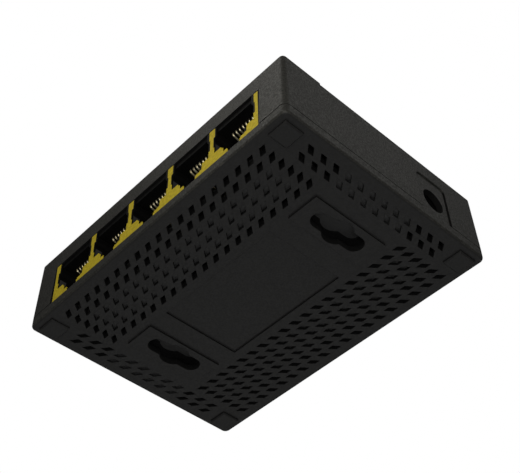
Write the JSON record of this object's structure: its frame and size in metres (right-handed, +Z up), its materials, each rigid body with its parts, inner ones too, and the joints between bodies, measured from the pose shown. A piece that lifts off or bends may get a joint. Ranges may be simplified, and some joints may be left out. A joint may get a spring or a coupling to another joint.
{
  "type": "ethernet switch",
  "caption": "Small desktop ethernet switch in a black plastic case, with a row of modular ports, a round power inlet, a vented underside and two wall keyholes.",
  "frame": {"origin": "on the plane of the feet, under the middle of the case", "axes": "+X towards the power inlet side, -Y towards the ports, +Z up through the roof"},
  "size_m": [0.087, 0.062, 0.021],
  "materials": {
    "case": "fine spark-eroded texture",
    "jack": "smooth moulded",
    "insert": "smooth moulded",
    "contact": "gold flash",
    "plated": "nickel plated",
    "board": "solder mask",
    "steel": "plated",
    "chip": "moulded resin",
    "sink": "black anodised",
    "ferrite": "ground ferrite",
    "can": "sleeved",
    "clear": "polished",
    "led": "phosphor dome"
  },
  "bodies": {
    "root": {"base_cover": "case", "board_screws": "steel", "circuit_board": "board", "contact_carrier_1": "insert", "contact_carrier_2": "insert", "contact_carrier_3": "insert", "contact_carrier_4": "insert", "contact_carrier_5": "insert", "crystal": "steel", "dc_jack_body": "insert", "dc_jack_pin": "plated", "dc_jack_spring": "plated", "filter_capacitor_1": "can", "filter_capacitor_2": "can", "heat_sink": "sink", "indicator_led_1": "led", "indicator_led_2": "led", "indicator_led_3": "led", "indicator_led_4": "led", "indicator_led_5": "led", "indicator_led_6": "led", "jack_block": "jack", "light_pipe": "clear", "line_transformer_1": "chip", "line_transformer_2": "chip", "line_transformer_3": "chip", "line_transformer_4": "chip", "line_transformer_5": "chip", "port_contacts_1": "contact", "port_contacts_2": "contact", "port_contacts_3": "contact", "port_contacts_4": "contact", "port_contacts_5": "contact", "power_inductor": "ferrite", "regulator_chip": "chip", "switch_chip": "chip", "top_housing": "case"}
  },
  "joints": []
}
